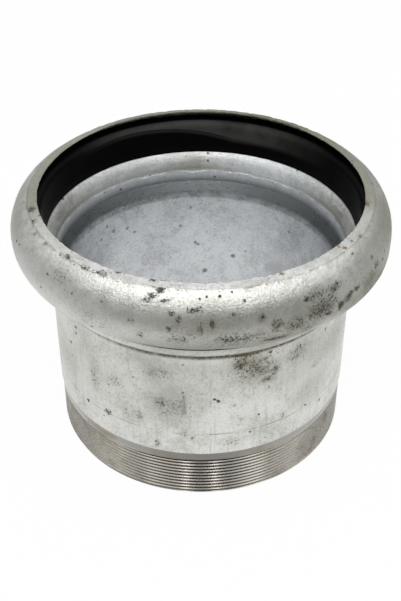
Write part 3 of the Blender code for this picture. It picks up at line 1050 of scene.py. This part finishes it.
def chip_lip(shape):
    """Small chips out of the zinc along both edges of the lip."""
    for vert in shape.verts:
        radius = math.hypot(vert.co.x, vert.co.y)
        crumble = max(0.0, lump(vert.co, *SMALL_CHIPS))
        crumble += 0.5 * max(0.0, lump(vert.co, *LARGE_CHIPS))
        chipped = vert.co.z - CHIP_DROP * crumble
        if vert.co.z > LIP_GROOVE[1] - 0.0004 and radius > LIP_RADIUS - 0.0012:
            set_out(vert, radius - CHIP_DEPTH * crumble, chipped)
        elif vert.co.z > BELL_TOP - 0.0006 and radius < MOUTH_RADIUS + 0.0007:
            set_out(vert, radius + CHIP_DEPTH * crumble, chipped)


def drip_neck(shape):
    """Zinc that ran in the neck and froze thicker, below a wavy edge under the shoulder."""
    coated = CHAMFER_TOP_RADIUS - DRIP_DEPTH
    for vert in shape.verts:
        radius = math.hypot(vert.co.x, vert.co.y)
        if radius < CHAMFER_TOP_RADIUS + 0.0008 and vert.co.z < SHOULDER_START:
            flat = Vector((vert.co.x, vert.co.y, 0.0))
            edge = DRIP_EDGE + sum(rise * lump(flat, size, seed) for rise, size, seed in EDGE_WAVES)
            share = min(1.0, max(0.0, (edge - vert.co.z) / EDGE_HEIGHT))
            set_out(vert, radius + (coated - radius) * share, vert.co.z)


def lip_lines(tree, place):
    """Two values: one on the lip's top, and the dirt on the lip's edges with the mouth's wall made
    darker.
    """
    height = height_of(tree, place)
    turn = turn_of(tree, place)
    radius = radius_of(tree, place)
    top = between(tree, height, LIP_GROOVE[1] - 0.0008, LIP_GROOVE[1] - 0.0002)
    lip = times(tree, top, between(tree, radius, LIP_RADIUS + 0.0012, LIP_RADIUS))
    broken = between(tree, noise_at(tree, place, *LIP_BREAKS), 0.51, 0.62)
    crumbling = between(tree, turn, -14.0, -32.0, 0.15, 0.9)
    outer = times(tree, near(tree, radius, LIP_GROOVE[0] - 0.0003, 0.0009), crumbling)
    inner = near(tree, radius, MOUTH_RADIUS, 0.0007)
    edges = times(tree, largest(tree, outer, inner), broken)
    # The mouth's wall is made darker, and at the back the darkening reaches onto the lip's top.
    behind = between(tree, maths(tree, "ABSOLUTE", turn), 118.0, 150.0, 0.0, 0.0017)
    reach = maths(tree, "ADD", behind, MOUTH_RADIUS - 0.0001)
    wall = between(tree, maths(tree, "SUBTRACT", radius, reach), 0.0003, -0.0003)
    return lip, times(tree, largest(tree, edges, wall), top)


def bell_settings(tree, place):
    """Painted shade in the crease, the neck and round the bead, dirt and painted shade where
    painted on, dirt on the lip, a lip darker at the back and sides, and painted light on the bead's
    left and two parts of the neck."""
    height = height_of(tree, place)
    turn = turn_of(tree, place)
    radius = radius_of(tree, place)
    lip, edges = lip_lines(tree, place)
    outside = between(tree, radius, FOOT_RADIUS - 0.0030, FOOT_RADIUS - 0.0015)
    inside = maths(tree, "SUBTRACT", 1.0, outside)
    # Painted shade in the crease above the weld, in front, and dark marks on the lip's edges.
    crease = near(tree, height, *CREASE_SHADE)
    crease = times(tree, crease, near(tree, turn, *CREASE_SHADE_TURN), outside)
    line = largest(tree, crease, edges)
    # A painted dark reflection round the bead's middle, darker towards its bottom, with the dirt
    # and shade painted on.
    under = times(tree, near(tree, height, *BEAD_BAND_SHADE), 0.12)
    low = between(tree, height, 0.128, 0.118, 0.0, 0.10)
    shade_and_dirt_outside = times(tree, largest(tree, under, low, painted(tree, "grime_and_shade")), outside)
    # The lip's top darker at the sides and most at the back.
    darker_lip = between(tree, maths(tree, "ABSOLUTE", turn), 58.0, 84.0, 0.0, 0.62)
    darker_lip = scaled(tree, near(tree, turn, *DARKER_LIP_TURN), 0.24, darker_lip)
    # Painted light on the shoulder inside the neck, at the back to either side, where the metal is
    # also made less metallic.
    left_lit, right_lit = (near(tree, turn, *reach) for reach in LIT_NECK_TURNS)
    bright = largest(tree, right_lit, times(tree, left_lit, 0.6))
    lit = times(tree, bright, inside, between(tree, height, DRIP_EDGE, DRIP_EDGE + 0.0020))
    # A painted highlight on the left of the bead.
    left = times(tree, near(tree, turn, *PAINTED_LIGHT_TURN), outside, 0.5)
    # Painted shadow under the shoulder in the neck, lighter where the painted light falls.
    unlit = maths(tree, "SUBTRACT", 1.0, bright)
    shadow = times(tree, near(tree, height, *NECK_SHADOW), 0.50, unlit, inside)
    in_neck = between(tree, height, DRIP_EDGE + 0.0010, DRIP_EDGE - 0.0008)
    tones = bore_tones(tree, place, times(tree, inside, in_neck))
    face = times(tree, outside, maths(tree, "SUBTRACT", 1.0, lip))
    light = blend(tree, face, tones["Light"], BELL_LIGHT)
    light = blend(tree, left, blend(tree, lit, light, NECK_LIT_PALE), BELL_PAINTED_LIGHT)
    middle = blend(tree, lit, tones["Middle"], NECK_LIT_MIDDLE)
    return {
        "Light": blend(tree, lip, light, LIP_LIGHT),
        "Middle": blend(tree, left, middle, BELL_LIGHT),
        "Crumbs": scaled(tree, lip, 0.45, 0.76),
        "Bright Metal": scaled(tree, lit, -0.5, 0.92),
        "Dullness": scaled(tree, inside, 0.05, 0.40),
        "Grime And Shade": largest(tree, times(tree, line, 0.9), shade_and_dirt_outside, times(tree, darker_lip, lip), shadow),
        "Soot And Shade": largest(tree, painted(tree, "soot"), times(tree, line, 0.62)),
    }


bell_shape = turn_section(bell_outline(), BELL_STEPS)
roughen_bell(bell_shape)
chip_lip(bell_shape)
drip_neck(bell_shape)
galvanised_bell = zinc_material("galvanised_bell", BELL_RELIEF, BELL_DOTS, bell_settings)
bell = finish_mesh(bell_shape, "bell", [galvanised_bell])
paint(bell, "soot", BELL_SOOT)
paint(bell, "rust", BELL_RUST)
paint(bell, "grime_and_shade", BELL_GRIME_AND_SHADE)
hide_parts("socket_bell")


# The weld: a fillet of steel run by hand round the bell's foot, which joins it to the nipple. It
# was dipped in zinc with them, so its ripples are soft.
WELD_UPPER_TOE = (0.08595, 0.10594)
WELD_LOWER_TOE = (0.08285, 0.0995)
WELD_CROWN = 0.0012
WELD_OUTWARDS = (0.9, -0.43)
WELD_BACK_DEPTH = 0.0006
WELD_BACK_TOP = 0.1041
WELD_FACE_STEPS = 10
WELD_STEPS = 600
WELD_RELIEF = 0.00012
RIPPLE_SIZE = 0.006
RIPPLE_SEED = 21.0
RIPPLE_OUT = 0.00015
RIPPLE_UP = 0.0002


def weld_outline():
    """The weld's round face from its upper toe to its lower one, closed inside the metal."""
    face = []
    for i in range(WELD_FACE_STEPS + 1):
        share = i / WELD_FACE_STEPS
        swell = WELD_CROWN * math.sin(math.pi * share)
        r = WELD_UPPER_TOE[0] + (WELD_LOWER_TOE[0] - WELD_UPPER_TOE[0]) * share
        z = WELD_UPPER_TOE[1] + (WELD_LOWER_TOE[1] - WELD_UPPER_TOE[1]) * share
        face.append((r + swell * WELD_OUTWARDS[0], z + swell * WELD_OUTWARDS[1]))
    back = WELD_LOWER_TOE[0] - WELD_BACK_DEPTH
    return face + [(back, WELD_LOWER_TOE[1]), (back, WELD_BACK_TOP)]


def ripple_weld(shape):
    """Soft waves along the weld's face. The part inside the metal stays true."""
    for vert in shape.verts:
        radius = math.hypot(vert.co.x, vert.co.y)
        if radius > WELD_LOWER_TOE[0] + 0.0001:
            wave = lump(vert.co, RIPPLE_SIZE, RIPPLE_SEED)
            set_out(vert, radius + RIPPLE_OUT * wave, vert.co.z + RIPPLE_UP * wave)


def weld_settings(tree, place):
    """Painted shade in front along both toes, and the face a little darker, most near turn 24."""
    height = height_of(tree, place)
    turn = turn_of(tree, place)
    upper = near(tree, height, WELD_UPPER_TOE[1] + 0.0004, 0.0013)
    lower = near(tree, height, WELD_LOWER_TOE[1] - 0.0002, 0.0032)
    # Painted shade in the creases along both toes, in front.
    toes = times(tree, largest(tree, upper, lower), near(tree, turn, 10.0, 130.0))
    face = scaled(tree, near(tree, turn, 24.0, 50.0), 0.24, 0.06)
    return {
        "Crumbs": 0.45,
        "Bright Metal": 0.92,
        "Dullness": 0.33,
        "Grime And Shade": largest(tree, times(tree, toes, 0.85), face),
        "Soot And Shade": times(tree, toes, 0.7),
    }


weld_shape = turn_section(weld_outline(), WELD_STEPS)
ripple_weld(weld_shape)
galvanised_weld = zinc_material("galvanised_weld", WELD_RELIEF, (), weld_settings)
weld = finish_mesh(weld_shape, "weld_bead", [galvanised_weld])
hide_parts("neck_weld")


# The seal: a moulded ring of black rubber, sprung into the bead by hand. Its nose stands a little
# inside the mouth, and a rounded shoulder runs up from it under the lip.
SEAL_HALF_SIZES = (0.01453, 0.01820)
SEAL_TOP = 0.14098
SEAL_RIDGE = (0.0844, 0.1368)
SEAL_NOSE = (0.0836, 0.12575)
SEAL_SHOULDER = 0.0042
SEAL_BASE = 0.1212
SEAL_SILL = 0.12225
SEAL_HEEL_RADIUS = 0.08434
SEAL_STEPS = 360
SEAL_CORNER = 0.0037
SEAL_ROW = 0.0008
SEAL_SHARP_ANGLE = math.radians(50.0)
CREASE_TOP = 0.1386
CREASE_TOP_TURN = 150.0
CREASE_BEND = 0.0000040
CREASE_DROP = 0.0075
CREASE_ENDS = (52.0, 36.0)
RUBBER_RELIEF = 0.00003
RUBBER_COLOUR = (0.0010, 0.0010, 0.0010, 1.0)
RUBBER_DUST_AND_SHEEN = (0.045, 0.044, 0.042, 1.0)
RUBBER_SHINE = 0.05


def seal_outline():
    """From the back of the ring round its base, up the nose and over the shoulder."""
    turn = math.asin((SEAL_TOP - BEAD_CENTRE[1]) / SEAL_HALF_SIZES[1])
    back = arc(BEAD_CENTRE, SEAL_HALF_SIZES, turn, 0.0, 6)
    corner_centre = (CORNER_CENTRE, SEAL_BASE + SEAL_CORNER)
    corner = arc(corner_centre, (SEAL_CORNER, SEAL_CORNER), 0.0, -math.pi / 2.0, 4)
    heel = [(SEAL_HEEL_RADIUS, SEAL_BASE), (SEAL_HEEL_RADIUS, SEAL_SILL), (SEAL_NOSE[0], SEAL_SILL)]
    face = divided([heel[-1], SEAL_NOSE, SEAL_RIDGE], SEAL_ROW)[1:-1]
    centre = (SEAL_RIDGE[0] + SEAL_SHOULDER, SEAL_RIDGE[1])
    shoulder = arc(centre, (SEAL_SHOULDER, SEAL_SHOULDER), math.pi, math.pi / 2.0, 10)
    return back + corner + heel + face + shoulder


def rubber_crease(tree, place):
    """Two values: one on a thin crease that climbs and dips at the back, and one above it."""
    height = height_of(tree, place)
    back = maths(tree, "SUBTRACT", 360.0, turn_of(tree, place))
    back = maths(tree, "MODULO", back, 360.0)
    beyond = maths(tree, "SUBTRACT", back, CREASE_TOP_TURN)
    drop = times(tree, beyond, beyond, CREASE_BEND)
    raised = maths(tree, "ADD", height, maths(tree, "MINIMUM", drop, CREASE_DROP))
    line = near(tree, raised, CREASE_TOP - 0.0002, 0.0005)
    line = times(tree, line, between(tree, maths(tree, "ABSOLUTE", beyond), *CREASE_ENDS))
    return line, between(tree, raised, CREASE_TOP - 0.0030, CREASE_TOP + 0.0012)


def black_rubber():
    """Black rubber with a satin skin, and pale dust with a painted sheen at the back above the
    crease.
    """
    material, tree, shader, bump = new_material("black_rubber", RUBBER_RELIEF)
    place = add_node(tree, "ShaderNodeTexCoord").outputs["Object"]
    cloud = noise_at(tree, place, 40.0, 4.0, 0.6)
    turn = maths(tree, "ABSOLUTE", turn_of(tree, place))
    line, dust_and_sheen = rubber_crease(tree, place)
    radius = radius_of(tree, place)
    crown = between(tree, radius, SEAL_RIDGE[0] + SEAL_SHOULDER, SEAL_RIDGE[0] + 0.003)
    # Pale dust and a painted sheen on the seal's crown, at the back only.
    dust_and_sheen = times(tree, dust_and_sheen, crown, between(tree, turn, 118.0, 162.0))
    patchy = between(tree, cloud, 0.25, 0.60, 0.4)
    dust_and_sheen = times(tree, dust_and_sheen, patchy, maths(tree, "SUBTRACT", 1.0, line))
    tree.links.new(blend(tree, dust_and_sheen, RUBBER_COLOUR, RUBBER_DUST_AND_SHEEN), shader.inputs["Base Color"])
    shader.inputs["Specular IOR Level"].default_value = RUBBER_SHINE
    tree.links.new(scaled(tree, cloud, 0.25, 0.3), shader.inputs["Roughness"])
    tree.links.new(noise_at(tree, place, 900.0, 3.0, 0.6), bump.inputs["Height"])
    return material


seal_shape = turn_section(seal_outline(), SEAL_STEPS)
seal = finish_mesh(seal_shape, "rubber_seal", [black_rubber()], SEAL_SHARP_ANGLE)
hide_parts("seal_ring")
